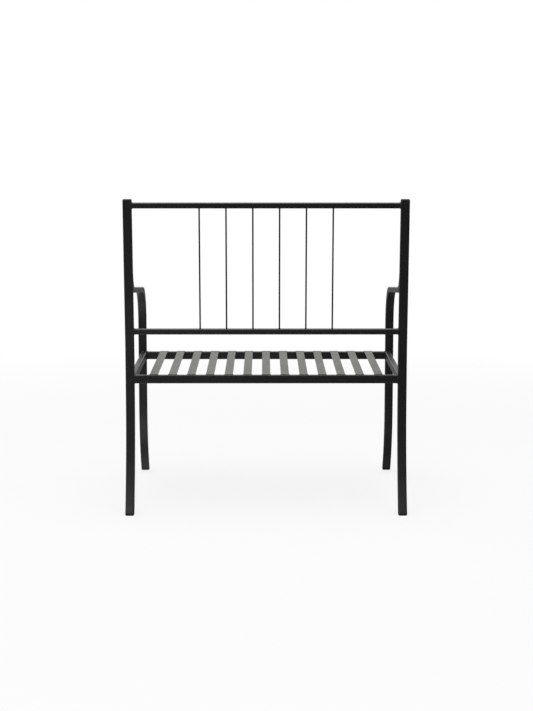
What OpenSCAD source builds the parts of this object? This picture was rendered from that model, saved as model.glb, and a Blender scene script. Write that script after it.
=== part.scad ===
// Garden lounge chair of bent and welded steel tube, with a seat of flat bars.
// Millimetres, +Z up. The front of the chair faces -Y and the sitter's left is +X.
// The origin is on the floor, under the centre of the chair's box.

/* [Chair] */
// Width over the outer faces of the two side frames
chair_w = 740; // [600:1:1100]
// Height of the tops of the back posts above the floor
chair_h = 826; // [760:1:1000]
// Height of the top of the seat bars above the floor
seat_h = 365; // [330:1:430]
// Distance between the centre lines of the front legs and the rear posts, at the seat
seat_run = 464; // [400:1:600]

/* [Side frame tube] */
// Width of the tube, across the chair
tube_w = 23.5; // [18:0.5:35]
// Thickness of the tube, in the plane of the side frame
tube_t = 15; // [12:0.5:20]
// Wall of the tube
tube_wall = 1.5; // [1:0.1:2]
// Radius of the tube's outer corners
tube_corner_r = 3; // [2.6:0.1:5]
// How far the bender draws each side of the tube in at its bends
bend_draw = 0.05; // [0.02:0.01:0.2]

/* [Rear posts] */
// How far each rear foot stands behind the straight part of its post
rear_foot_reach = 61; // [20:1:90]
// Straight length of the post between its foot's sweep and the seat rails
rear_straight = 41; // [20:1:90]
// Height of the knee, where the post starts to lean, above the seat
knee_rise = 75; // [50:1:95]
// Centre line radius of the knee
knee_bend_r = 600; // [200:10:700]
// Lean of the back, in degrees from upright
back_lean = 5.8; // [3:0.1:7]

/* [Arms and front legs] */
// How far each front foot stands ahead of the straight part of its leg
front_foot_reach = 71; // [20:1:90]
// Straight length of the leg between its foot's sweep and the seat rails
front_straight = 137; // [60:1:180]
// Height of the corner where leg and arm centre lines cross, above the seat
arm_bend_rise = 180; // [150:1:210]
// Centre line radius of the bend from leg to arm
arm_bend_r = 105; // [40:1:130]
// Rise of the arm towards the back, in degrees from level
arm_slope = 5.25; // [2:0.25:9]
// Centre line radius of the upward bend that ends the arm at the post
arm_end_r = 75; // [40:1:95]
// Angle at which the arm's upper face runs into the post, in degrees
arm_end_meet = 9; // [5:1:20]
// Length taken off the thin tip of the arm's end, up along the post
arm_end_trim = 3; // [2:0.5:8]

/* [Seat frame] */
// Thickness of the four seat rails
seat_rail_t = 15; // [12:0.5:15]
// Height of the four seat rails
seat_rail_h = 22; // [16:0.5:30]
// Wall of the seat and back rails
rail_wall = 1.5; // [1:0.1:2]
// Radius of the outer corners of the seat and back rails
rail_corner_r = 2.5; // [2.2:0.1:3.5]

/* [Seat bars] */
// Number of seat bars
slat_count = 13; // [9:1:16]
// Width of a seat bar
slat_w = 22; // [16:0.5:28]
// Thickness of a seat bar
slat_t = 1.5; // [1:0.1:4]
// Gap between an end bar and the side rail beside it
slat_edge_gap = 39.5; // [20:0.5:60]
// How far each end of a bar stays back from the outer face of its rail
slat_setback = 4.5; // [0:0.5:5]

/* [Back] */
// Height and thickness of the two back rails
back_rail_s = 14.3; // [12:0.1:15]
// Height of the lower back rail's centre line above the seat
lower_rail_rise = 114; // [90:0.5:160]
// Length of post above the top rail, its cap included
top_rail_drop = 9; // [6:0.5:40]
// Number of back rods
spindle_count = 6; // [4:1:10]
// Diameter of a back rod
spindle_d = 4.2; // [3:0.1:8]
// Distance from the outer rods' centre lines to the posts
spindle_edge_gap = 173.5; // [60:0.5:220]

/* [Plugs and caps] */
// Height of the part of a foot plug that shows
foot_plug_h = 6; // [4:0.5:12]
// Radius of a foot plug's lower corners
foot_plug_r = 3.5; // [1:0.5:3.5]
// Depth of a foot plug inside its tube
foot_spigot_l = 22; // [10:1:40]
// Height of the part of a post cap that shows
post_cap_h = 4; // [4:0.5:5.5]
// Radius of a post cap's upper edges
post_cap_r = 3; // [1:0.5:3]
// Depth of a post cap inside its tube
cap_spigot_l = 18; // [8:1:30]
// Gap on each side of a spigot inside its tube
spigot_clearance = 0.2; // [0.1:0.05:0.3]
// Wall of a spigot, which is open inside
spigot_wall = 2; // [1:0.1:2.5]

/* [Hidden] */

// Fineness of small corners and of the long bends
$fn = 48;
sweep_fn = 240;
// Angle by which a bend is turned too far before its end is cut
overturn = 5;
// How far a straight stretch of tube runs into the bends beside it
lap = 0.3;

// Radius and angle of a foot's sweep, upright at its top, from its reach and its height
function sweep_r(reach, rise) = (reach * reach + rise * rise) / (2 * reach);
function sweep_a(reach, rise) = 2 * atan(reach / rise);
// Reach of a sweep's outer face at the floor
function floor_edge(reach, rise) =
    sweep_r(reach, rise) - sqrt(pow(sweep_r(reach, rise) - tube_t / 2, 2) - rise * rise);

// Places across the chair
frame_x = (chair_w - tube_w) / 2;
inner_w = chair_w - 2 * tube_w;

// Heights of the seat frame and of the tops of the foot sweeps
rail_top_z = seat_h - slat_t;
rail_mid_z = rail_top_z - seat_rail_h / 2;
rail_bottom_z = rail_top_z - seat_rail_h;
rear_sweep_h = rail_bottom_z - rear_straight;
front_sweep_h = rail_bottom_z - front_straight;

// The leaning part of the post, measured from the knee
knee_z = seat_h + knee_rise;
knee_tangent = knee_bend_r * tan(back_lean / 2);
post_len = (chair_h - knee_z) / cos(back_lean);
lower_rail_up = (lower_rail_rise - knee_rise) / cos(back_lean);
top_rail_up = post_len - top_rail_drop - back_rail_s / 2;

// Places along the chair, with the box's centre at zero
foot_back = floor_edge(rear_foot_reach, rear_sweep_h);
post_back = post_len * sin(back_lean) + tube_t / 2 * cos(back_lean);
foot_front = floor_edge(front_foot_reach, front_sweep_h);
post_y = (seat_run + foot_front - max(foot_back, post_back)) / 2;
leg_y = post_y - seat_run;

// The arm, from the end of its front bend to the start of its rear bend
arm_turn = 90 - arm_slope;
arm_tangent = arm_bend_r * tan(arm_turn / 2);
arm_corner_z = seat_h + arm_bend_rise;
arm_start_y = leg_y + arm_tangent * cos(arm_slope);
arm_start_z = arm_corner_z + arm_tangent * sin(arm_slope);
arm_end_gap = tube_t / 2 + (arm_end_r - tube_t / 2) * cos(arm_end_meet);
arm_start_gap =
    (post_y - arm_start_y + arm_end_r * sin(arm_slope)) * cos(back_lean)
    + (arm_start_z + arm_end_r * cos(arm_slope) - knee_z) * sin(back_lean);
arm_len = (arm_start_gap - arm_end_gap) / cos(arm_slope + back_lean);
arm_end_turn = arm_turn - back_lean;

// Centre of the arm's rear bend, and the height of its trimmed tip above the knee, up the post
arm_end_y = arm_start_y + arm_len * cos(arm_slope) - arm_end_r * sin(arm_slope);
arm_end_z = arm_start_z + arm_len * sin(arm_slope) + arm_end_r * cos(arm_slope);
arm_tip_up =
    (arm_end_y - post_y) * sin(back_lean) + (arm_end_z - knee_z) * cos(back_lean)
    - (arm_end_r - tube_t / 2) * sin(arm_end_meet) - arm_end_trim;

// Bars and rods
slat_pitch = (inner_w - 2 * slat_edge_gap - slat_w) / (slat_count - 1);
slat_l = seat_run + seat_rail_t - 2 * slat_setback;
spindle_pitch = (inner_w - 2 * spindle_edge_gap) / (spindle_count - 1);
spindle_l = top_rail_up - lower_rail_up - back_rail_s;

// Rounded rectangle about the origin
module rounded_bar(w, t, r) {
    square([w - 2 * r, t], center = true);
    square([w, t - 2 * r], center = true);
    for (sx = [-1, 1], sy = [-1, 1])
        translate([sx * (w / 2 - r), sy * (t / 2 - r)]) circle(r = r);
}

// Section of a rectangular tube
module tube_section(w, t, r, wall) {
    difference() {
        rounded_bar(w, t, r);
        rounded_bar(w - 2 * wall, t - 2 * wall, r - wall);
    }
}

// Section of the side frames' tube, drawn in by a small amount on every side
module frame_section(draw) {
    tube_section(tube_w - 2 * draw, tube_t - 2 * draw, tube_corner_r, tube_wall);
}

module frame_outline() {
    rounded_bar(tube_w, tube_t, tube_corner_r);
}

// Section of a plug's spigot, with a clearance inside the tube and an open pocket
module spigot_section() {
    w = tube_w - 2 * (tube_wall + spigot_clearance);
    t = tube_t - 2 * (tube_wall + spigot_clearance);
    difference() {
        rounded_bar(w, t, tube_corner_r - tube_wall - spigot_clearance);
        square([w - 2 * spigot_wall, t - 2 * spigot_wall], center = true);
    }
}

// Arc of a section about the origin, from the -Y side upwards
module arc(radius, angle) {
    rotate([90, 0, -90])
        rotate_extrude(angle = angle, $fn = sweep_fn)
            translate([radius, 0]) rotate(90) children();
}

module towards(side) {
    if (side < 0) mirror([0, 1, 0]) children();
    else children();
}

// The frame tube along +Z with its bends. Each stage is a straight length, then a bend's radius
// and angle, and a positive angle turns the tube towards +Y. A bend ends where the next stage starts.
module bent_tube(stages, k = 0) {
    if (k < len(stages)) {
        run = stages[k][0];
        radius = stages[k][1];
        angle = stages[k][2];
        side = sign(angle);
        translate([0, 0, -lap])
            linear_extrude(height = lap + run + abs(side) * lap) frame_section(0);
        if (side != 0)
            translate([0, side * radius, run]) {
                difference() {
                    towards(side) arc(radius, abs(angle) + overturn) frame_section(bend_draw);
                    rotate([-angle, 0, 0]) space_above();
                }
                rotate([-angle, 0, 0])
                    translate([0, -side * radius, 0]) bent_tube(stages, k + 1);
            }
    }
}

// A foot's sweep, from the upright tube above it down past the floor
module foot_sweep(y, reach, rise, side) {
    translate([frame_x, y, rise])
        towards(side)
            mirror([0, 0, 1])
                translate([0, sweep_r(reach, rise), 0])
                    arc(sweep_r(reach, rise), sweep_a(reach, rise) + overturn) children();
}

module rear_foot() {
    foot_sweep(post_y, rear_foot_reach, rear_sweep_h, 1) children();
}

module front_foot() {
    foot_sweep(leg_y, front_foot_reach, front_sweep_h, -1) children();
}

// Everything above the origin, and everything below a height
module space_above() {
    translate([-chair_w, -chair_w, 0]) cube([2 * chair_w, 2 * chair_w, chair_w]);
}

module space_below(z) {
    translate([0, 0, z]) mirror([0, 0, 1]) space_above();
}

// The frame of the leaning back, with its origin at the knee and +Z up the post
module leaning() {
    translate([0, post_y, knee_z]) rotate([-back_lean, 0, 0]) children();
}

module rear_post() {
    color("#1b1b1b")
        difference() {
            union() {
                rear_foot() frame_section(bend_draw);
                translate([frame_x, post_y, rear_sweep_h])
                    bent_tube([
                        [knee_z - knee_tangent - rear_sweep_h, knee_bend_r, back_lean],
                        [post_len - knee_tangent - post_cap_h, 0, 0]
                    ]);
            }
            space_below(foot_plug_h);
        }
}

// Front leg and arm in one length of tube, cut off on the rear post's front face
module arm_and_front_leg() {
    color("#1d1d1d")
        difference() {
            union() {
                front_foot() frame_section(bend_draw);
                translate([frame_x, leg_y, front_sweep_h])
                    bent_tube([
                        [arm_corner_z - arm_tangent - front_sweep_h, arm_bend_r, arm_turn],
                        [arm_len, arm_end_r, -arm_end_turn]
                    ]);
            }
            space_below(foot_plug_h);
            leaning()
                translate([-chair_w, -tube_t / 2, -chair_h])
                    cube([2 * chair_w, seat_run, 2 * chair_h]);
            leaning() translate([0, 0, arm_tip_up]) space_above();
        }
}

// A tube across the chair, between the inner faces of the side frames, about its centre line
module cross_tube(t, h) {
    translate([-inner_w / 2, 0, 0])
        rotate([90, 0, 90])
            linear_extrude(height = inner_w) tube_section(t, h, rail_corner_r, rail_wall);
}

module seat_cross_rail(y) {
    color("#202020") translate([0, y, rail_mid_z]) cross_tube(seat_rail_t, seat_rail_h);
}

// Side rail from the rear post's front face to the leg's rear face, flush with their inner faces
module seat_side_rail() {
    color("#262626")
        translate([(inner_w + seat_rail_t) / 2, post_y - tube_t / 2, rail_mid_z])
            rotate([90, 0, 0])
                linear_extrude(height = seat_run - tube_t)
                    tube_section(seat_rail_t, seat_rail_h, rail_corner_r, rail_wall);
}

// Flat bar on top of the front and rear rails
module seat_slat(k) {
    color("#343434")
        translate([(k - (slat_count - 1) / 2) * slat_pitch - slat_w / 2, 0, rail_top_z])
            translate([0, leg_y - seat_rail_t / 2 + slat_setback, 0])
                cube([slat_w, slat_l, slat_t]);
}

module back_rail(up) {
    color("#222222") leaning() translate([0, 0, up]) cross_tube(back_rail_s, back_rail_s);
}

// Round rod between the two back rails
module back_spindle(k) {
    color("#191919")
        leaning()
            translate([(k - (spindle_count - 1) / 2) * spindle_pitch, 0, lower_rail_up + back_rail_s / 2])
                cylinder(d = spindle_d, h = spindle_l);
}

// Bar of full width whose lower corners are round, seen along the chair
module round_heel(w, h, r) {
    rotate([90, 0, 0])
        linear_extrude(height = 2 * chair_w, center = true) {
            translate([-w / 2, r]) square([w, h - r]);
            translate([r - w / 2, 0]) square([w - 2 * r, h]);
            for (sx = [-1, 1]) translate([sx * (w / 2 - r), r]) circle(r = r);
        }
}

// A foot plug's heel under the tube's end, cut from the foot's solid outline
module foot_heel() {
    difference() {
        intersection() {
            children();
            translate([frame_x, 0, 0]) round_heel(tube_w, foot_plug_h, foot_plug_r);
        }
        space_below(0);
    }
}

// A foot plug's hollow spigot inside the tube
module foot_spigot() {
    intersection() {
        children();
        translate([0, -chair_w, foot_plug_h]) cube([chair_w, 2 * chair_w, foot_spigot_l]);
    }
}

module rear_foot_plug() {
    color("#151515") {
        foot_heel() rear_foot() frame_outline();
        foot_spigot() rear_foot() spigot_section();
    }
}

module front_foot_plug() {
    color("#151515") {
        foot_heel() front_foot() frame_outline();
        foot_spigot() front_foot() spigot_section();
    }
}

// Post cap's head with round upper edges, and its hollow spigot
module post_cap() {
    color("#151515")
        translate([frame_x, 0, 0])
            leaning()
                translate([0, 0, post_len - post_cap_h]) {
                    intersection() {
                        linear_extrude(height = post_cap_h) frame_outline();
                        cap_crown(tube_w);
                        rotate([0, 0, 90]) cap_crown(tube_t);
                    }
                    translate([0, 0, -cap_spigot_l])
                        linear_extrude(height = cap_spigot_l) spigot_section();
                }
}

// Bar of a width whose upper corners are round
module cap_crown(w) {
    translate([0, 0, post_cap_h]) mirror([0, 0, 1]) round_heel(w, post_cap_h, post_cap_r);
}

module right_side() {
    mirror([1, 0, 0]) children();
}

rear_post();  // left_rear_post
right_side() rear_post();  // right_rear_post
arm_and_front_leg();  // left_arm_and_front_leg
right_side() arm_and_front_leg();  // right_arm_and_front_leg
seat_cross_rail(post_y);  // seat_rear_rail
seat_cross_rail(leg_y);  // seat_front_rail
seat_side_rail();  // seat_left_rail
right_side() seat_side_rail();  // seat_right_rail
seat_slat(0);  // seat_slat_01
seat_slat(1);  // seat_slat_02
seat_slat(2);  // seat_slat_03
seat_slat(3);  // seat_slat_04
seat_slat(4);  // seat_slat_05
seat_slat(5);  // seat_slat_06
seat_slat(6);  // seat_slat_07
seat_slat(7);  // seat_slat_08
seat_slat(8);  // seat_slat_09
seat_slat(9);  // seat_slat_10
seat_slat(10);  // seat_slat_11
seat_slat(11);  // seat_slat_12
seat_slat(12);  // seat_slat_13
back_rail(top_rail_up);  // back_top_rail
back_rail(lower_rail_up);  // back_lower_rail
back_spindle(0);  // back_spindle_1
back_spindle(1);  // back_spindle_2
back_spindle(2);  // back_spindle_3
back_spindle(3);  // back_spindle_4
back_spindle(4);  // back_spindle_5
back_spindle(5);  // back_spindle_6
rear_foot_plug();  // left_rear_foot_plug
right_side() rear_foot_plug();  // right_rear_foot_plug
front_foot_plug();  // left_front_foot_plug
right_side() front_foot_plug();  // right_front_foot_plug
post_cap();  // left_post_cap
right_side() post_cap();  // right_post_cap
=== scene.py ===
"""Garden lounge chair of welded steel tube, in a fine black powder coat, on a pale studio floor."""

from math import atan, ceil, cos, pi, radians, sin, sqrt, tan

import bmesh
import bpy
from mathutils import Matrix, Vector


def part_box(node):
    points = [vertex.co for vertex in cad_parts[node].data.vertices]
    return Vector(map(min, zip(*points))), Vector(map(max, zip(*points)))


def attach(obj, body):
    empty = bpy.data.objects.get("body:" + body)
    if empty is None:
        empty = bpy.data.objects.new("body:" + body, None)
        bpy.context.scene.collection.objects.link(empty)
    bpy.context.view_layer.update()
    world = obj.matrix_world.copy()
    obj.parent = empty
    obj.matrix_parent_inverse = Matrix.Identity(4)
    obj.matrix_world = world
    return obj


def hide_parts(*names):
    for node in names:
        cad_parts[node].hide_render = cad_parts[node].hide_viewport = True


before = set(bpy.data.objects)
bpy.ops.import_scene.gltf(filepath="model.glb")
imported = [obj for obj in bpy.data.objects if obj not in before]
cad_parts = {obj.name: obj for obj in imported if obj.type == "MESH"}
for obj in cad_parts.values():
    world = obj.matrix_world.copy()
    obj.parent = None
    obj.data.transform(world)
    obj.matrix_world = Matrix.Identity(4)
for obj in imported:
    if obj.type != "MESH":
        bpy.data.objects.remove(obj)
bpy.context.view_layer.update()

MM = 0.001
X_AXIS, Y_AXIS, Z_AXIS = Vector((1, 0, 0)), Vector((0, 1, 0)), Vector((0, 0, 1))


def middle_y(node):
    """The middle of a CAD node, along the chair."""
    low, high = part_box(node)
    return (low.y + high.y) / 2


def row_places(count, pitch):
    """Places across the chair of equal things, even about the middle."""
    return [(k - (count - 1) / 2) * pitch for k in range(count)]


# The side frames' tube, and the space between the side frames
OVERALL_W = 740 * MM
TUBE_W = 23.5 * MM
TUBE_T = 15 * MM
TUBE_CORNER = 3 * MM
EASED_END = 0.4 * MM
FRAME_X = (OVERALL_W - TUBE_W) / 2
INNER_X = FRAME_X - TUBE_W / 2
PLUG_TOP = 6 * MM
CAP_H = 4 * MM

# The seat: flat bars on a front and a rear rail, and a rail at each side
SEAT_TOP = 365 * MM
BAR_COUNT = 13
BAR_SPREAD = 592 * MM
BAR_PITCH = BAR_SPREAD / (BAR_COUNT - 1)
BAR_W = 22 * MM
BAR_T = 1.5 * MM
BAR_EDGE = 0.6 * MM
BAR_SETBACK = 4.5 * MM
RAIL_T = 15 * MM
RAIL_H = 22 * MM
RAIL_CORNER = 2.5 * MM
RAIL_MID = SEAT_TOP - BAR_T - RAIL_H / 2
SIDE_RAIL_X = INNER_X + RAIL_T / 2
POST_Y = middle_y("seat_rear_rail")
LEG_Y = middle_y("seat_front_rail")

# The rear posts, from the foot up
REAR_REACH = 61 * MM
REAR_SWEEP = 300.5 * MM
KNEE_Z = 440 * MM
KNEE_RADIUS = 600 * MM
LEAN = radians(5.8)
POST_TOP = 826 * MM
POST_LENGTH = (POST_TOP - KNEE_Z) / cos(LEAN)
KNEE_TANGENT = KNEE_RADIUS * tan(LEAN / 2)
LEAN_UP = Vector((0, sin(LEAN), cos(LEAN)))
LEAN_OUT = Vector((0, cos(LEAN), -sin(LEAN)))

# The back's rails and rods, measured up the leaning posts from the knee
BACK_RAIL = 14.3 * MM
LOWER_RAIL_RISE = 39 * MM
TOP_RAIL_DROP = 9 * MM
LOWER_RAIL_UP = LOWER_RAIL_RISE / cos(LEAN)
TOP_RAIL_UP = POST_LENGTH - TOP_RAIL_DROP - BACK_RAIL / 2
ROD_COUNT = 6
ROD_PITCH = 69.2 * MM
ROD_D = 4.2 * MM
ROD_FOOT_UP = LOWER_RAIL_UP + BACK_RAIL / 2
ROD_TOP_UP = TOP_RAIL_UP - BACK_RAIL / 2

# The front legs and arms, from the foot up
FRONT_REACH = 71 * MM
FRONT_SWEEP = 204.5 * MM
ARM_CORNER_Z = 545 * MM
ARM_RADIUS = 105 * MM
ARM_SLOPE = radians(5.25)
ARM_END_RADIUS = 75 * MM
ARM_END_MEET = radians(9)
ARM_END_TRIM = 3 * MM

# The arm, as in the solids: it ends where its upper face meets the post's front face
ARM_TURN = pi / 2 - ARM_SLOPE
ARM_TANGENT = ARM_RADIUS * tan(ARM_TURN / 2)
ARM_START_Y = LEG_Y + ARM_TANGENT * cos(ARM_SLOPE)
ARM_START_Z = ARM_CORNER_Z + ARM_TANGENT * sin(ARM_SLOPE)
ARM_END_GAP = TUBE_T / 2 + (ARM_END_RADIUS - TUBE_T / 2) * cos(ARM_END_MEET)
ARM_START_GAP = (POST_Y - ARM_START_Y + ARM_END_RADIUS * sin(ARM_SLOPE)) * cos(LEAN) + (
    ARM_START_Z + ARM_END_RADIUS * cos(ARM_SLOPE) - KNEE_Z
) * sin(LEAN)
ARM_LENGTH = (ARM_START_GAP - ARM_END_GAP) / cos(ARM_SLOPE + LEAN)
ARM_END_Y = ARM_START_Y + ARM_LENGTH * cos(ARM_SLOPE) - ARM_END_RADIUS * sin(ARM_SLOPE)
ARM_END_Z = ARM_START_Z + ARM_LENGTH * sin(ARM_SLOPE) + ARM_END_RADIUS * cos(ARM_SLOPE)
ARM_END_UP = (ARM_END_Y - POST_Y) * sin(LEAN) + (ARM_END_Z - KNEE_Z) * cos(LEAN)
ARM_TIP_UP = ARM_END_UP - (ARM_END_RADIUS - TUBE_T / 2) * sin(ARM_END_MEET) - ARM_END_TRIM
ARM_HEEL_UP = ARM_END_UP - sqrt(
    (ARM_END_RADIUS + TUBE_T / 2) ** 2 - (ARM_END_GAP - TUBE_T / 2) ** 2
)

# How finely curves are cut: a bend's step, and the facets of arcs, rods, rings and beads. ARC_REACH is
# the share of a corner's radius within which a point of the section counts as on its arc
BEND_STEP = radians(1.5)
FEWEST_BEND_STEPS = 4
TUBE_ARC_STEPS = 6
BAR_ARC_STEPS = 3
ROD_FACETS = 24
ROD_STRETCHES = 24
BEAD_FACETS = 8
ROD_RING_POINTS = 20
RING_ARC_STEPS = 3
ARC_REACH = 0.98
CUT_TOLERANCE = 1e-7
RIPPLE_STEPS = 5
SMOOTH_BELOW = 40
BEAD_SMOOTH_BELOW = 80

# The welds: how far a bead's path lies inside what it goes round, and how uneven the bead is
WELD_INSET = 1.6 * MM
ARM_WELD_INSET = 5.2 * MM
TACK_INWARD = 4 * MM
TACK_OUTWARD = 3.5 * MM
RIPPLE_DEPTH = 0.13
BEAD_UNEVENNESS = 0.5
BEAD_UNEVEN_SCALE = 130.0

# Patterns of the powder coat and of the plastic, in waves per metre, and how deep their relief is
CLOUD_SCALE = 11.0
WEAR_SCALE = 42.0
SWELL_SCALE = 260.0
GRAIN_SCALE = 520.0
PEEL_SCALE = 1150.0
COAT_RELIEF = 0.24 * MM
FLOW_SCALE = 60.0
SCUFF_SCALE = 240.0
SPARK_SCALE = 1600.0
PLASTIC_RELIEF = 0.05 * MM
SCUFF_HEIGHT = 4 * MM
BAR_TONE_SEED = 7

# The studio's floor and its reflections, in metres: how far its ramps run, and where they start. The
# floor's look in reflections is painted light and painted shade
FLOOR_HALF = 14.0
FLOOR_RAMP = 4.0
AHEAD_RAMP = 8.0
FOOT_RAMP = 0.5
# The rear foot round which painted shade lies in the floor's gloss, the middle of the floor's painted
# pool of light, and the share of that light kept on the sitter's right
REAR_FOOT = (FRAME_X, POST_Y + REAR_REACH, 0.0)
PAINTED_LIGHT_MIDDLE = (0.2, -0.25, 0.0)
PAINTED_LIGHT_RIGHT_SHARE = 0.18
FLOOR_WHITE = 0.76
WARM_WHITE = (1.0, 1.0, 0.965, 1.0)
AMBIENT = 0.5

# Each lamp's name, place, target, size and watts
LAMPS = (
    ("top_light", (0.0, 0.4, 3.2), (0.0, 0.0, 0.3), (3.2, 3.2), 60.0),
    ("rear_fill", (1.3, 3.6, 3.4), (0.0, 0.0, 0.3), (1.8, 1.4), 16.0),
    ("front_fill", (1.8, -3.6, 2.2), (0.0, 0.0, 0.4), (2.2, 1.8), 12.0),
)

# The camera, in metres and degrees, and its lens in millimetres
CAMERA_PLACE = (0.0072, 4.5985, 1.0092)
CAMERA_DOWN = 7.761
CAMERA_ASIDE = 0.105
CAMERA_FAR = 60.0
LENS = 113.04
SENSOR_W = 36.0


class Wire:
    """One output of a node. Sums written with wires and numbers add Math nodes."""

    def __init__(self, wiring, socket):
        self.wiring = wiring
        self.socket = socket

    def __add__(self, other):
        return self.wiring.maths("ADD", self, other)

    def __radd__(self, other):
        return self.wiring.maths("ADD", other, self)

    def __sub__(self, other):
        return self.wiring.maths("SUBTRACT", self, other)

    def __rsub__(self, other):
        return self.wiring.maths("SUBTRACT", other, self)

    def __mul__(self, other):
        return self.wiring.maths("MULTIPLY", self, other)

    def __rmul__(self, other):
        return self.wiring.maths("MULTIPLY", other, self)

    def __truediv__(self, other):
        return self.wiring.maths("DIVIDE", self, other)

    def __rtruediv__(self, other):
        return self.wiring.maths("DIVIDE", other, self)

    def __gt__(self, other):
        return self.wiring.maths("GREATER_THAN", self, other)


class Wiring:
    """A node tree. The method node is the one way in which nodes are added to it."""

    def __init__(self, tree):
        self.tree = tree
        tree.nodes.clear()

    def node(self, kind, settings=None, sockets=None, out=0):
        made = self.tree.nodes.new(kind)
        for name, value in (settings or {}).items():
            if name == "stops":
                self.set_stops(made.color_ramp, value)
            else:
                setattr(made, name, value)
        for name, value in (sockets or {}).items():
            if isinstance(value, Wire):
                self.tree.links.new(value.socket, made.inputs[name])
            else:
                made.inputs[name].default_value = value
        return Wire(self, made.outputs[out]) if made.outputs else None

    def set_stops(self, ramp, stops):
        ramp.elements[0].position = stops[0][0]
        ramp.elements[1].position = stops[-1][0]
        for place, _ in stops[1:-1]:
            ramp.elements.new(place)
        for element, (_, level) in zip(ramp.elements, stops):
            element.color = (level, level, level, 1)

    def maths(self, operation, *terms):
        return self.node("ShaderNodeMath", {"operation": operation}, dict(enumerate(terms)))

    def along(self, vector, axis):
        return self.node("ShaderNodeSeparateXYZ", {}, {"Vector": vector}, out=axis)

    def vector(self, **parts):
        return self.node("ShaderNodeCombineXYZ", {}, parts)

    def distance(self, place, point):
        return self.node(
            "ShaderNodeVectorMath", {"operation": "DISTANCE"}, {0: place, 1: point}, out="Value"
        )

    def attribute(self, name):
        return self.node("ShaderNodeAttribute", {"attribute_name": name}, out="Fac")

    def noise(self, place, scale, detail, roughness=0.5, seed=None):
        sockets = {"Vector": place, "Scale": scale, "Detail": detail, "Roughness": roughness}
        if seed is None:
            return self.node("ShaderNodeTexNoise", {"noise_dimensions": "3D"}, sockets)
        return self.node("ShaderNodeTexNoise", {"noise_dimensions": "4D"}, {**sockets, "W": seed})

    def ramp(self, level, *stops):
        """A level read off stops, each the place on the way from 0 to 1 and the level there."""
        return self.node("ShaderNodeValToRGB", {"stops": stops}, {"Fac": level})

    def blend(self, share, first, second):
        """Colour that goes from the first to the second with a share from 0 to 1."""
        return self.node(
            "ShaderNodeMix", {"data_type": "RGBA"}, {0: share, 6: first, 7: second}, out=2
        )

    def clamp(self, level):
        return self.node("ShaderNodeClamp", {}, {"Value": level, "Min": 0.0, "Max": 1.0})

    def relief(self, height, depth, strength):
        return self.node(
            "ShaderNodeBump", {}, {"Strength": strength, "Distance": depth, "Height": height}
        )


def grey(level, warmth=0.0):
    return (level * (1 + warmth), level, level * (1 - warmth), 1)


def start_skin(name):
    """A new material, its wiring, and the place on the piece that its patterns follow."""
    skin = bpy.data.materials.new(name)
    skin.use_nodes = True
    w = Wiring(skin.node_tree)
    return skin, w, w.node("ShaderNodeTexCoord", out="Object")


def end_skin(w, colour, roughness, relief, gloss):
    shader = w.node(
        "ShaderNodeBsdfPrincipled",
        {},
        {
            "Base Color": colour,
            "Roughness": roughness,
            "Normal": relief,
            "Metallic": 0.0,
            "Specular IOR Level": gloss,
        },
    )
    w.node("ShaderNodeOutputMaterial", {}, {"Surface": shader})


def powder_coat(name, dark, light, worn, dusty, smooth, rough, gloss):
    """Black powder coat. Its tone goes from dark to light in soft clouds and fine specks, and on seat
    bars with the attribute bar_tone. It is worn thin in places where the attribute corner marks a
    tube's corner, dust lies on what faces up, and the surface has a fine orange peel. Smooth and
    rough are its least and greatest roughness."""
    skin, w, place = start_skin(name)
    facing = w.node("ShaderNodeNewGeometry", out="Normal")
    upward = w.ramp(w.along(facing, "Z"), (0.75, 0.0), (0.98, 1.0))
    clouds = w.noise(place, CLOUD_SCALE, detail=4.0, roughness=0.55)
    wear = w.noise(place, WEAR_SCALE, detail=5.0, roughness=0.7)
    swell = w.noise(place, SWELL_SCALE, detail=1.0, roughness=0.4)
    grain = w.noise(place, GRAIN_SCALE, detail=2.0, roughness=0.6)
    peel = w.noise(place, PEEL_SCALE, detail=2.0)
    speck = w.ramp(grain, (0.35, 0.0), (0.65, 1.0))
    rubbed = w.clamp(w.attribute("corner") * w.ramp(wear, (0.44, 0.0), (0.7, 1.0)))
    dust = w.clamp(upward * w.ramp(clouds, (0.3, 0.35), (0.7, 1.0)))
    shade = w.clamp(0.55 * clouds + 0.35 * speck + 0.2 * w.attribute("bar_tone"))
    colour = w.blend(shade, grey(dark), grey(light))
    colour = w.blend(0.5 * dust, colour, grey(dusty, 0.05))
    colour = w.blend(0.7 * rubbed, colour, grey(worn, 0.02))
    roughness = smooth + (rough - smooth) * clouds + 0.1 * (speck - 0.3) - 0.06 * rubbed + 0.04 * dust
    relief = w.relief(0.6 * peel + 0.5 * grain + 0.4 * swell, depth=COAT_RELIEF, strength=0.7)
    end_skin(w, colour, roughness, relief, gloss)
    return skin


def moulded_plastic():
    """Black moulded plastic of the plugs and caps: matt, with a fine grain from its mould, and
    scuffed near the floor."""
    skin, w, place = start_skin("moulded_plug_plastic")
    flow = w.noise(place, FLOW_SCALE, detail=3.0)
    scuff = w.noise(place, SCUFF_SCALE, detail=4.0, roughness=0.7)
    grain = w.noise(place, SPARK_SCALE, detail=2.0, roughness=0.6)
    tread = w.ramp(w.along(place, "Z"), (0.0, 1.0), (SCUFF_HEIGHT, 0.0))
    scuffed = w.clamp(tread * w.ramp(scuff, (0.45, 0.0), (0.6, 1.0)))
    colour = w.blend(flow, grey(0.005), grey(0.009))
    colour = w.blend(0.5 * scuffed, colour, grey(0.025, 0.03))
    roughness = 0.5 + 0.14 * flow + 0.1 * scuffed
    relief = w.relief(grain, depth=PLASTIC_RELIEF, strength=0.3)
    end_skin(w, colour, roughness, relief, gloss=0.28)
    return skin


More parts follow.
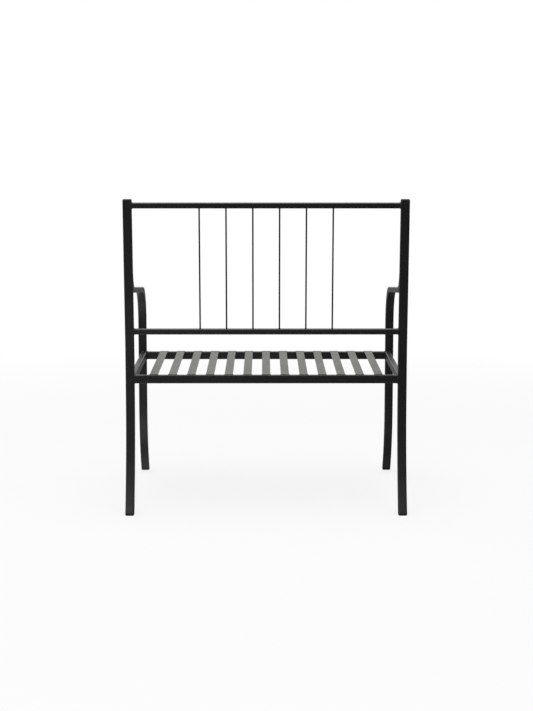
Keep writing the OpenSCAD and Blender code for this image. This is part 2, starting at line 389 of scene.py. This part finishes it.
def start_tree(name, inputs):
    """A geometry tree with named inputs, and those inputs as wires."""
    tree = bpy.data.node_groups.new(name, "GeometryNodeTree")
    w = Wiring(tree)
    tree.interface.new_socket("Geometry", in_out="OUTPUT", socket_type="NodeSocketGeometry")
    for label, kind in inputs.items():
        tree.interface.new_socket(label, in_out="INPUT", socket_type="NodeSocket" + kind)
    entry = tree.nodes.new("NodeGroupInput")
    return w, {label: Wire(w, entry.outputs[label]) for label in inputs}


def end_tree(w, shape, finish):
    whole = w.node("GeometryNodeRealizeInstances", {}, {"Geometry": shape})
    coated = w.node("GeometryNodeSetMaterial", {}, {"Geometry": whole, "Material": finish})
    w.node("NodeGroupOutput", {}, {"Geometry": coated})
    return w.tree


def rounded_section(w, wide, thick, corner, steps):
    """Rounded rectangle, with the attribute corner on the points of its four arcs."""
    box = w.node("GeometryNodeCurvePrimitiveQuadrilateral", {}, {"Width": wide, "Height": thick})
    outline = w.node(
        "GeometryNodeFilletCurve",
        {"mode": "POLY"},
        {"Curve": box, "Count": steps, "Radius": corner, "Limit Radius": True},
    )
    place = w.node("GeometryNodeInputPosition")
    across, up = (
        w.maths("ABSOLUTE", w.along(place, axis)) > size / 2 - ARC_REACH * corner
        for axis, size in (("X", wide), ("Y", thick))
    )
    return w.node(
        "GeometryNodeStoreNamedAttribute",
        {"data_type": "FLOAT", "domain": "POINT"},
        {"Geometry": outline, "Name": "corner", "Value": across * up},
    )


def round_section(w, radius, facets):
    return w.node("GeometryNodeCurvePrimitiveCircle", {}, {"Resolution": facets, "Radius": radius})


def straight_line(w, reach):
    return w.node("GeometryNodeCurvePrimitiveLine", {}, {"End": reach})


def aimed(w, curve, direction):
    return w.node("GeometryNodeSetCurveNormal", {"mode": "FREE"}, {"Curve": curve, "Normal": direction})


def swept(w, curve, section, **more):
    """A section swept along a curve, with closed ends."""
    sockets = {"Curve": curve, "Profile Curve": section, "Fill Caps": True}
    return w.node("GeometryNodeCurveToMesh", {}, {**sockets, **more})


def in_a_row(w, given, shape, **more):
    """Copies of a shape in a row along +X, from the first place on."""
    row = w.node(
        "GeometryNodeMeshLine",
        {},
        {
            "Count": given["Count"],
            "Start Location": given["First place"],
            "Offset": w.vector(X=given["Pitch"]),
        },
    )
    return w.node("GeometryNodeInstanceOnPoints", {}, {"Points": row, "Instance": shape, **more})


def tube_tree():
    """Sweeps a rounded rectangular tube along each path, with its width in a given direction."""
    w, given = start_tree(
        "swept_tube",
        {
            "Paths": "Geometry",
            "Width": "Float",
            "Thickness": "Float",
            "Corner radius": "Float",
            "Width direction": "Vector",
            "Finish": "Material",
        },
    )
    section = rounded_section(
        w, given["Width"], given["Thickness"], given["Corner radius"], TUBE_ARC_STEPS
    )
    path = w.node("GeometryNodeMeshToCurve", {}, {"Mesh": given["Paths"]})
    tube = swept(w, aimed(w, path, given["Width direction"]), section)
    return end_tree(w, tube, given["Finish"])


def bar_tree():
    """A row of flat bars along +X, each swept along +Y and rolled with small round edges. Each bar
    has its own tone in the attribute bar_tone."""
    w, given = start_tree(
        "row_of_bars",
        {
            "Count": "Int",
            "Pitch": "Float",
            "First place": "Vector",
            "Bar width": "Float",
            "Bar thickness": "Float",
            "Bar length": "Float",
            "Edge radius": "Float",
            "Seed": "Int",
            "Finish": "Material",
        },
    )
    section = rounded_section(
        w, given["Bar width"], given["Bar thickness"], given["Edge radius"], BAR_ARC_STEPS
    )
    line = straight_line(w, w.vector(Y=given["Bar length"]))
    bars = in_a_row(w, given, swept(w, aimed(w, line, tuple(X_AXIS)), section))
    tone = w.node("FunctionNodeRandomValue", {"data_type": "FLOAT"}, {"Seed": given["Seed"]}, out=1)
    toned = w.node(
        "GeometryNodeStoreNamedAttribute",
        {"data_type": "FLOAT", "domain": "INSTANCE"},
        {"Geometry": bars, "Name": "bar_tone", "Value": tone},
    )
    return end_tree(w, toned, given["Finish"])


def rod_tree():
    """A row of round rods along +X, each turned about +X by the lean."""
    w, given = start_tree(
        "row_of_rods",
        {
            "Count": "Int",
            "Pitch": "Float",
            "First place": "Vector",
            "Diameter": "Float",
            "Length": "Float",
            "Lean": "Float",
            "Finish": "Material",
        },
    )
    line = w.node(
        "GeometryNodeResampleCurve",
        {"mode": "COUNT"},
        {"Curve": straight_line(w, w.vector(Z=given["Length"])), "Count": ROD_STRETCHES},
    )
    rod = swept(w, line, round_section(w, given["Diameter"] / 2, ROD_FACETS))
    rods = in_a_row(w, given, rod, Rotation=w.vector(X=0 - given["Lean"]))
    return end_tree(w, rods, given["Finish"])


def weld_tree():
    """Lays a rippled, slightly uneven bead of weld along each path."""
    w, given = start_tree(
        "weld_bead",
        {
            "Paths": "Geometry",
            "Bead radius": "Float",
            "Ripple": "Float",
            "Ripple depth": "Float",
            "Seed": "Float",
            "Finish": "Material",
        },
    )
    path = w.node("GeometryNodeMeshToCurve", {}, {"Mesh": given["Paths"]})
    fine = w.node(
        "GeometryNodeResampleCurve",
        {"mode": "LENGTH"},
        {"Curve": path, "Length": given["Ripple"] / RIPPLE_STEPS},
    )
    run = w.node("GeometryNodeSplineParameter", out="Length")
    wave = w.maths("SINE", run / given["Ripple"] * (2 * pi))
    place = w.node("GeometryNodeInputPosition")
    uneven = w.noise(place, BEAD_UNEVEN_SCALE, detail=1.0, seed=given["Seed"])
    swell = 1 + given["Ripple depth"] * wave + BEAD_UNEVENNESS * (uneven - 0.5)
    bead = swept(w, fine, round_section(w, given["Bead radius"], BEAD_FACETS), Scale=swell)
    return end_tree(w, bead, given["Finish"])


def add_object(name, data):
    made = bpy.data.objects.new(name, data)
    bpy.context.scene.collection.objects.link(made)
    return made


def path_mesh(name, paths):
    """Mesh of edges from a list of paths, each its points and whether it closes on itself."""
    corners, edges = [], []
    for points, closed in paths:
        first = len(corners)
        corners += points
        edges += [(first + k, first + k + 1) for k in range(len(points) - 1)]
        if closed:
            edges.append((len(corners) - 1, first))
    mesh = bpy.data.meshes.new(name)
    mesh.from_pydata(corners, edges, [])
    return mesh


def grow(name, tree, paths, given):
    """The plain mesh that a tree makes along paths, if it takes any, from its named inputs."""
    seed = add_object(name + "_start", path_mesh(name + "_paths", paths))
    step = seed.modifiers.new("grow", "NODES")
    step.node_group = tree
    for item in tree.interface.items_tree:
        if item.in_out == "INPUT" and item.name in given:
            step[item.identifier] = given[item.name]
    graph = bpy.context.evaluated_depsgraph_get()
    mesh = bpy.data.meshes.new_from_object(seed.evaluated_get(graph), depsgraph=graph)
    seed.modifiers.remove(step)
    bpy.data.objects.remove(seed)
    mesh.name = name
    return mesh


def cut_off(mesh, point, away, eased=0.0):
    """Takes off what lies beyond a plane, closes the mesh on it, and eases the cut's rim where the
    tube meets a plug or a cap."""
    work = bmesh.new()
    work.from_mesh(mesh)
    whole = work.verts[:] + work.edges[:] + work.faces[:]
    bmesh.ops.bisect_plane(
        work, geom=whole, dist=CUT_TOLERANCE, plane_co=point, plane_no=away, clear_outer=True
    )
    rim = [edge for edge in work.edges if edge.is_boundary]
    bmesh.ops.edgeloop_fill(work, edges=rim)
    if eased:
        bmesh.ops.bevel(
            work, geom=rim, offset=eased, segments=2, profile=0.5, affect="EDGES", clamp_overlap=True
        )
    work.to_mesh(mesh)
    work.free()


def tidy_faces(mesh, sharp):
    """Turns faces outwards and shades them smooth below a sharp angle."""
    work = bmesh.new()
    work.from_mesh(mesh)
    bmesh.ops.recalc_face_normals(work, faces=work.faces)
    work.to_mesh(mesh)
    work.free()
    mesh.polygons.foreach_set("use_smooth", [True] * len(mesh.polygons))
    mesh.set_sharp_from_angle(angle=radians(sharp))


def set_piece(name, mesh, nodes, even=True, sharp=SMOOTH_BELOW):
    """A finished steel piece of the one rigid body, in place of the CAD nodes that it stands for."""
    tidy_faces(mesh, sharp)
    piece = add_object(name, mesh)
    if even:
        flat = piece.modifiers.new("even_faces", "WEIGHTED_NORMAL")
        flat.keep_sharp = True
    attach(piece, "root")
    if nodes:
        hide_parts(*nodes)


def walk(x, y, z, heading, stretches):
    """Centre line of a bent tube in its side frame's plane. A stretch is a length, or a bend's radius
    and its angle towards +Y. The heading is the angle from +Z towards +Y."""
    points = [(x, y, z)]
    for stretch in stretches:
        if len(stretch) == 1:
            y += stretch[0] * sin(heading)
            z += stretch[0] * cos(heading)
            points.append((x, y, z))
            continue
        radius, angle = stretch
        steps = max(FEWEST_BEND_STEPS, ceil(abs(angle) / BEND_STEP))
        turn = angle / steps
        chord = 2 * radius * sin(abs(turn) / 2)
        for _ in range(steps):
            y += chord * sin(heading + turn / 2)
            z += chord * cos(heading + turn / 2)
            heading += turn
            points.append((x, y, z))
    return points


def sweep_radius(reach, rise):
    return (reach * reach + rise * rise) / (2 * reach)


def sweep_angle(reach, rise):
    return 2 * atan(reach / rise)


def lean_point(x, out, up):
    """A point in the leaning back's frame: across, out of the back towards +Y, and up the posts."""
    y = POST_Y + out * cos(LEAN) + up * sin(LEAN)
    z = KNEE_Z - out * sin(LEAN) + up * cos(LEAN)
    return Vector((x, y, z))


def post_path(x):
    sweep = sweep_angle(REAR_REACH, REAR_SWEEP)
    stretches = [
        (sweep_radius(REAR_REACH, REAR_SWEEP), sweep),
        (KNEE_Z - KNEE_TANGENT - REAR_SWEEP,),
        (KNEE_RADIUS, LEAN),
        (POST_LENGTH - KNEE_TANGENT,),
    ]
    return walk(x, POST_Y + REAR_REACH, 0.0, -sweep, stretches)


def arm_path(x):
    sweep = sweep_angle(FRONT_REACH, FRONT_SWEEP)
    stretches = [
        (sweep_radius(FRONT_REACH, FRONT_SWEEP), -sweep),
        (ARM_CORNER_Z - ARM_TANGENT - FRONT_SWEEP,),
        (ARM_RADIUS, ARM_TURN),
        (ARM_LENGTH,),
        (ARM_END_RADIUS, -(ARM_TURN - LEAN)),
    ]
    return walk(x, LEG_Y - FRONT_REACH, 0.0, sweep, stretches)


def tubes(name, paths, wide, thick, corner, direction):
    """The mesh of rounded rectangular tubes, one along each open path."""
    return grow(
        name,
        SWEPT_TUBE,
        [(path, False) for path in paths],
        {
            "Width": wide,
            "Thickness": thick,
            "Corner radius": corner,
            "Width direction": tuple(direction),
            "Finish": FRAME_COAT,
        },
    )


def frame_tube(name, path):
    """One bent tube of a side frame, cut level on top of its foot plug."""
    mesh = tubes(name, [path], TUBE_W, TUBE_T, TUBE_CORNER, X_AXIS)
    cut_off(mesh, Vector((0, 0, PLUG_TOP)), -Z_AXIS, EASED_END)
    return mesh


def rails(name, paths, wide, thick, direction, nodes):
    set_piece(name, tubes(name, paths, wide, thick, RAIL_CORNER, direction), nodes)


def ring(centre, across, up, wide, high):
    """Closed path round a tube's end: a rectangle with rounded corners."""
    points = []
    for quarter, (side, end) in enumerate(((1, 1), (-1, 1), (-1, -1), (1, -1))):
        for step in range(RING_ARC_STEPS + 1):
            angle = pi / 2 * (quarter + step / RING_ARC_STEPS)
            u = side * (wide / 2 - RAIL_CORNER) + RAIL_CORNER * cos(angle)
            v = end * (high / 2 - RAIL_CORNER) + RAIL_CORNER * sin(angle)
            points.append(tuple(centre + across * u + up * v))
    return points, True


def rail_ring(centre, across, up, wide, high):
    return ring(centre, across, up, wide - WELD_INSET, high - WELD_INSET / 2)


def rod_ring(centre):
    """Closed path round a rod's end."""
    radius = ROD_D / 2
    turns = [2 * pi * k / ROD_RING_POINTS for k in range(ROD_RING_POINTS)]
    return [
        tuple(centre + X_AXIS * radius * cos(turn) + LEAN_OUT * radius * sin(turn)) for turn in turns
    ], True


def frame_weld_paths():
    """Rings at the ends of the seat's rails, the back's rails and the arms."""
    paths = []
    for side in (1, -1):
        for y in (POST_Y, LEG_Y):
            centre = Vector((side * INNER_X, y, RAIL_MID))
            paths.append(rail_ring(centre, Y_AXIS, Z_AXIS, RAIL_T, RAIL_H))
        for y in (POST_Y - TUBE_T / 2, LEG_Y + TUBE_T / 2):
            centre = Vector((side * SIDE_RAIL_X, y, RAIL_MID))
            paths.append(rail_ring(centre, X_AXIS, Z_AXIS, RAIL_T, RAIL_H))
        for up in (LOWER_RAIL_UP, TOP_RAIL_UP):
            centre = lean_point(side * INNER_X, 0, up)
            paths.append(rail_ring(centre, LEAN_OUT, LEAN_UP, BACK_RAIL, BACK_RAIL))
        centre = lean_point(side * FRAME_X, -TUBE_T / 2, (ARM_TIP_UP + ARM_HEEL_UP) / 2)
        width, height = TUBE_W - ARM_WELD_INSET, ARM_TIP_UP - ARM_HEEL_UP
        paths.append(ring(centre, X_AXIS, LEAN_UP, width, height))
    return paths


def rod_weld_paths():
    return [
        rod_ring(lean_point(x, 0, up))
        for x in row_places(ROD_COUNT, ROD_PITCH)
        for up in (ROD_FOOT_UP, ROD_TOP_UP)
    ]


def bar_weld_paths():
    """A short tack beside each corner of each seat bar, on the rail below."""
    paths = []
    z = SEAT_TOP - BAR_T
    for middle in row_places(BAR_COUNT, BAR_PITCH):
        for side in (1, -1):
            x = middle + side * BAR_W / 2
            for y, way in ((POST_Y, 1), (LEG_Y, -1)):
                near, far = y - way * TACK_INWARD, y + way * TACK_OUTWARD
                paths.append(([(x, near, z), (x, far, z)], False))
    return paths


def weld_piece(name, paths, radius, ripple, seed):
    given = {
        "Bead radius": radius,
        "Ripple": ripple,
        "Ripple depth": RIPPLE_DEPTH,
        "Seed": seed,
        "Finish": WELD_COAT,
    }
    set_piece(name, grow(name, WELD_BEAD, paths, given), [], even=False, sharp=BEAD_SMOOTH_BELOW)


def ray_kinds(w):
    """Whether the camera sees what a ray meets, itself or through something clear, and whether a
    gloss reflects it."""
    camera, clear, gloss = (
        w.node("ShaderNodeLightPath", out=kind)
        for kind in ("Is Camera Ray", "Is Transmission Ray", "Is Glossy Ray")
    )
    return w.clamp(camera + clear), gloss


def studio_floor():
    """A wide pale floor. The camera sees it white but for the chair's soft shadow. In gloss it shows a
    painted pool of light round the chair, brighter on the sitter's left, painted shade near the rear
    feet, and dim in front, painted to stand for a studio whose light falls on the set alone."""
    mesh = bpy.data.meshes.new("studio_floor")
    corners = [(x * FLOOR_HALF, y * FLOOR_HALF, 0) for x, y in ((-1, -1), (1, -1), (1, 1), (-1, 1))]
    mesh.from_pydata(corners, [], [(0, 1, 2, 3)])
    floor = add_object("studio_floor", mesh)
    skin, w, place = start_skin("pale_floor")
    seen, gloss = ray_kinds(w)
    open_floor = w.ramp(w.distance(place, (0.0, 0.0, 0.0)) / FLOOR_RAMP, (0.3, 0.0), (0.75, 1.0))
    mirrored = w.node("ShaderNodeVectorMath", {"operation": "ABSOLUTE"}, {0: place})
    # Painted shade in the floor's gloss round each rear foot, darkest a little way off it
    foot_gap = w.distance(mirrored, REAR_FOOT) / FOOT_RAMP
    painted_foot_shade = w.ramp(foot_gap, (0.0, 0.6), (0.1, 0.5), (0.22, 0.25), (0.5, 1.0))
    # A painted pool of light in the floor's gloss round the chair, brighter on the sitter's left, with
    # a faint painted glow in front
    lit_gap = w.distance(place, PAINTED_LIGHT_MIDDLE) / FLOOR_RAMP
    painted_light_patch = w.ramp(lit_gap, (0.12, 1.0), (0.27, 0.48), (0.42, 0.36), (0.58, 0.14), (0.66, 0.0))
    painted_light_side = w.ramp(0.5 + w.along(place, "X") / FLOOR_RAMP, (0.36, 0.0), (0.6, 1.0))
    painted_light_front = w.ramp(0.5 - w.along(place, "Y") / AHEAD_RAMP, (0.52, 0.0), (0.6, 0.13), (0.9, 0.17))
    painted_light_round = painted_light_patch * painted_foot_shade * (PAINTED_LIGHT_RIGHT_SHARE + (1 - PAINTED_LIGHT_RIGHT_SHARE) * painted_light_side)
    painted_gloss_light = w.clamp(painted_light_round + 0.04 * painted_light_side + painted_light_front)
    matt = w.node("ShaderNodeBsdfDiffuse", {}, {"Color": grey(0.9)})
    white = w.node("ShaderNodeEmission", {}, {"Color": grey(1.0), "Strength": 1.0})
    # The floor's colour in gloss is this painted light and painted shade
    in_gloss = w.node("ShaderNodeEmission", {}, {"Color": w.blend(painted_gloss_light, grey(0.0), grey(1.0))})
    whiteness = seen * (FLOOR_WHITE + (1 - FLOOR_WHITE) * open_floor)
    to_camera = w.node("ShaderNodeMixShader", {}, {0: whiteness, 1: matt, 2: white})
    whole = w.node("ShaderNodeMixShader", {}, {0: gloss, 1: to_camera, 2: in_gloss})
    w.node("ShaderNodeOutputMaterial", {}, {"Surface": whole})
    mesh.materials.append(skin)


def studio_world():
    """White backdrop to the camera. In gloss it is a white wall in front of the chair, a window high
    up that is dimmer on the sitter's right, and otherwise a dim room, all a little warm."""
    world = bpy.data.worlds.new("studio")
    bpy.context.scene.world = world
    world.use_nodes = True
    w = Wiring(world.node_tree)
    seen, gloss = ray_kinds(w)
    direction = w.node("ShaderNodeTexCoord", out="Generated")
    aside, ahead, above = (w.along(direction, axis) for axis in "XYZ")
    wall_width = w.ramp(w.maths("ABSOLUTE", aside), (0.35, 1.0), (0.75, 0.12))
    wall_front = w.ramp(0.5 + 0.5 * ahead, (0.3, 1.0), (0.55, 0.0))
    dim_room = w.ramp(0.5 + 0.5 * aside, (0.35, 0.01), (0.65, 0.06))
    window_height = w.ramp(above, (0.26, 0.0), (0.52, 1.0))
    window_side = w.ramp(0.5 + 0.5 * aside, (0.42, 0.22), (0.54, 1.0))
    gloss_level = w.clamp(wall_width * wall_front + dim_room + window_height * window_side)
    level = seen + (1 - seen) * (gloss * gloss_level + (1 - gloss) * AMBIENT)
    tint = w.blend(seen, WARM_WHITE, grey(1.0))
    sky = w.node("ShaderNodeBackground", {}, {"Color": tint, "Strength": level})
    w.node("ShaderNodeOutputWorld", {}, {"Surface": sky})


def soft_light(name, place, target, size, watts):
    lamp = bpy.data.lights.new(name, "AREA")
    lamp.shape = "RECTANGLE"
    lamp.size, lamp.size_y = size
    lamp.energy = watts
    hung = add_object(name, lamp)
    hung.location = place
    aim = Vector(target) - Vector(place)
    hung.rotation_euler = aim.to_track_quat("-Z", "Y").to_euler()


def photo_camera():
    """Camera behind the chair, a little above it and looking slightly down."""
    lens = bpy.data.cameras.new("photo_camera")
    lens.sensor_fit = "HORIZONTAL"
    lens.sensor_width = SENSOR_W
    lens.lens = LENS
    lens.clip_end = CAMERA_FAR
    camera = add_object("photo_camera", lens)
    camera.location = CAMERA_PLACE
    camera.rotation_euler = (radians(90 - CAMERA_DOWN), 0.0, radians(180 - CAMERA_ASIDE))
    bpy.context.scene.camera = camera


FRAME_COAT = powder_coat(
    "frame_powder_coat",
    dark=0.008, light=0.013, worn=0.03, dusty=0.02,
    smooth=0.33, rough=0.41, gloss=0.5,
)
BAR_COAT = powder_coat(
    "seat_bar_powder_coat",
    dark=0.008, light=0.013, worn=0.035, dusty=0.03,
    smooth=0.3, rough=0.38, gloss=0.47,
)
WELD_COAT = powder_coat(
    "weld_powder_coat",
    dark=0.006, light=0.010, worn=0.02, dusty=0.015,
    smooth=0.42, rough=0.54, gloss=0.5,
)
PLUG_PLASTIC = moulded_plastic()

SWEPT_TUBE = tube_tree()
ROW_OF_BARS = bar_tree()
ROW_OF_RODS = rod_tree()
WELD_BEAD = weld_tree()

for side, way in (("left", 1), ("right", -1)):
    post = frame_tube(side + "_post_tube", post_path(way * FRAME_X))
    cut_off(post, lean_point(0, 0, POST_LENGTH - CAP_H), LEAN_UP, EASED_END)
    set_piece(side + "_bent_post", post, [side + "_rear_post"])
    arm = frame_tube(side + "_arm_tube", arm_path(way * FRAME_X))
    cut_off(arm, lean_point(0, -TUBE_T / 2, 0), LEAN_OUT)
    cut_off(arm, lean_point(0, 0, ARM_TIP_UP), LEAN_UP)
    set_piece(side + "_bent_arm", arm, [side + "_arm_and_front_leg"])

cross_rails = [[(-INNER_X, y, RAIL_MID), (INNER_X, y, RAIL_MID)] for y in (POST_Y, LEG_Y)]
side_rails = [
    [(x, LEG_Y + TUBE_T / 2, RAIL_MID), (x, POST_Y - TUBE_T / 2, RAIL_MID)]
    for x in (-SIDE_RAIL_X, SIDE_RAIL_X)
]
rails(
    "seat_rails",
    cross_rails + side_rails,
    wide=RAIL_H,
    thick=RAIL_T,
    direction=Z_AXIS,
    nodes=["seat_rear_rail", "seat_front_rail", "seat_left_rail", "seat_right_rail"],
)
rails(
    "back_rails",
    [[tuple(lean_point(x, 0, up)) for x in (-INNER_X, INNER_X)] for up in (LOWER_RAIL_UP, TOP_RAIL_UP)],
    wide=BACK_RAIL,
    thick=BACK_RAIL,
    direction=LEAN_UP,
    nodes=["back_lower_rail", "back_top_rail"],
)

bars = grow(
    "seat_bars",
    ROW_OF_BARS,
    [],
    {
        "Count": BAR_COUNT,
        "Pitch": BAR_PITCH,
        "First place": (
            row_places(BAR_COUNT, BAR_PITCH)[0],
            LEG_Y - RAIL_T / 2 + BAR_SETBACK,
            SEAT_TOP - BAR_T / 2,
        ),
        "Bar width": BAR_W,
        "Bar thickness": BAR_T,
        "Bar length": POST_Y - LEG_Y + RAIL_T - 2 * BAR_SETBACK,
        "Edge radius": BAR_EDGE,
        "Seed": BAR_TONE_SEED,
        "Finish": BAR_COAT,
    },
)
set_piece("seat_bars", bars, ["seat_slat_%02d" % (k + 1) for k in range(BAR_COUNT)])

rods = grow(
    "back_rods",
    ROW_OF_RODS,
    [],
    {
        "Count": ROD_COUNT,
        "Pitch": ROD_PITCH,
        "First place": tuple(lean_point(row_places(ROD_COUNT, ROD_PITCH)[0], 0, ROD_FOOT_UP)),
        "Diameter": ROD_D,
        "Length": TOP_RAIL_UP - LOWER_RAIL_UP - BACK_RAIL,
        "Lean": LEAN,
        "Finish": FRAME_COAT,
    },
)
set_piece("back_rods", rods, ["back_spindle_%d" % (k + 1) for k in range(ROD_COUNT)], even=False)

weld_piece("frame_welds", frame_weld_paths(), radius=2.0 * MM, ripple=2.6 * MM, seed=3.0)
weld_piece("rod_welds", rod_weld_paths(), radius=1.1 * MM, ripple=2.0 * MM, seed=5.0)
weld_piece("bar_tacks", bar_weld_paths(), radius=1.2 * MM, ripple=2.2 * MM, seed=9.0)

for name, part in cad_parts.items():
    if name.endswith(("_foot_plug", "_post_cap")):
        part.data.materials.clear()
        part.data.materials.append(PLUG_PLASTIC)

studio_floor()
studio_world()
for lamp in LAMPS:
    soft_light(*lamp)
photo_camera()

bpy.context.scene.view_settings.view_transform = "Standard"
